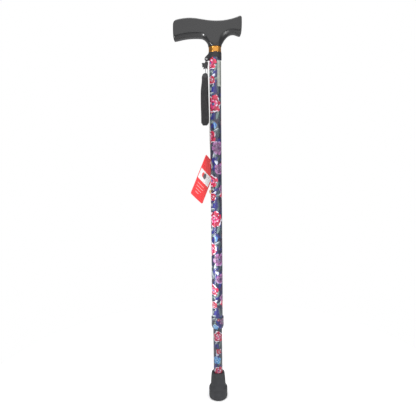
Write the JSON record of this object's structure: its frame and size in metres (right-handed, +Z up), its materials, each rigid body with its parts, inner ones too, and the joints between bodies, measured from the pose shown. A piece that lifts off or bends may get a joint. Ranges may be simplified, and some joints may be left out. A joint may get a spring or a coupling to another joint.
{
  "type": "walking cane",
  "caption": "Adjustable single point walking cane with a moulded T handle, floral printed telescopic shaft, snap button, locking collar, rubber foot, wrist strap and hang tag.",
  "frame": {"origin": "centre of the rubber foot's flat face, on the floor below the shaft's axis", "axes": "+Z up the shaft to the handle, X along the handle with its long arm towards -X, -Y towards the front face with the label at its right"},
  "size_m": [0.1271, 0.0688, 0.762],
  "materials": {
    "handle_black": "satin gloss",
    "spigot_nylon": "matte",
    "bright_steel": "brushed",
    "gold_plate": "polished gold colour",
    "printed_tube": "glossy floral print",
    "printed_collar": "glossy floral print",
    "brass": "polished",
    "tip_rubber": "matte",
    "band_rubber": "satin",
    "grey_cord": "braided",
    "bead_black": "satin",
    "webbing_black": "woven",
    "label_paper": "coated",
    "tag_card": "coated",
    "tag_string": "twisted"
  },
  "bodies": {
    "cane_upper": {"handle": "handle_black", "handle_spigot": "spigot_nylon", "handle_screw": "bright_steel", "gold_ring": "gold_plate", "outer_tube": "printed_tube", "label": "label_paper"},
    "collar": {"locking_collar": "printed_collar", "collar_sleeve": "spigot_nylon"},
    "lower_shaft": {"inner_tube": "printed_tube", "inner_guide_plug": "spigot_nylon", "inner_foot_plug": "spigot_nylon", "ferrule": "tip_rubber", "ferrule_washer": "bright_steel", "button_spring": "bright_steel"},
    "button": {"snap_button": "brass"},
    "strap_mount": {"strap_ring": "band_rubber"},
    "strap_link": {"strap_cord": "grey_cord", "strap_bead": "bead_black"},
    "strap_loop": {"strap_end_cap": "webbing_black", "wrist_strap": "webbing_black"},
    "tag": {"tag_string": "tag_string", "swing_tag": "tag_card"}
  },
  "joints": [
    {"name": "height_slide", "type": "slide", "parent": "cane_upper", "child": "lower_shaft", "axis": [0, 0, -1], "range_m": [0, 0.2286], "deforming": ["snap_button", "button_spring"]},
    {"name": "button_press", "type": "slide", "parent": "lower_shaft", "child": "button", "axis": [1, 0, 0], "range_m": [0, 0.0042], "stiffness_N_per_m": 1500, "deforming": ["button_spring"]},
    {"name": "collar_turn", "type": "hinge", "parent": "cane_upper", "child": "collar", "pos_m": [0, 0, 0.1676], "axis": [0, 0, 1], "range_deg": [-180, 0]},
    {"name": "strap_ring_turn", "type": "hinge", "parent": "cane_upper", "child": "strap_mount", "pos_m": [0, 0, 0.695], "axis": [0, 0, 1], "range_deg": [-180, 180]},
    {"name": "strap_swing", "type": "hinge", "parent": "strap_mount", "child": "strap_link", "pos_m": [-0.0158, 0, 0.6886], "axis": [0, 1, 0], "range_deg": [0, 90]},
    {"name": "strap_loop_swing", "type": "hinge", "parent": "strap_link", "child": "strap_loop", "pos_m": [-0.018, 0, 0.6664], "axis": [1, 0, 0], "range_deg": [-75, 0], "deforming": ["strap_cord"]},
    {"name": "tag_swing", "type": "hinge", "parent": "strap_mount", "child": "tag", "pos_m": [-0.0158, 0, 0.6886], "axis": [0, 1, 0], "range_deg": [0, 60]}
  ]
}
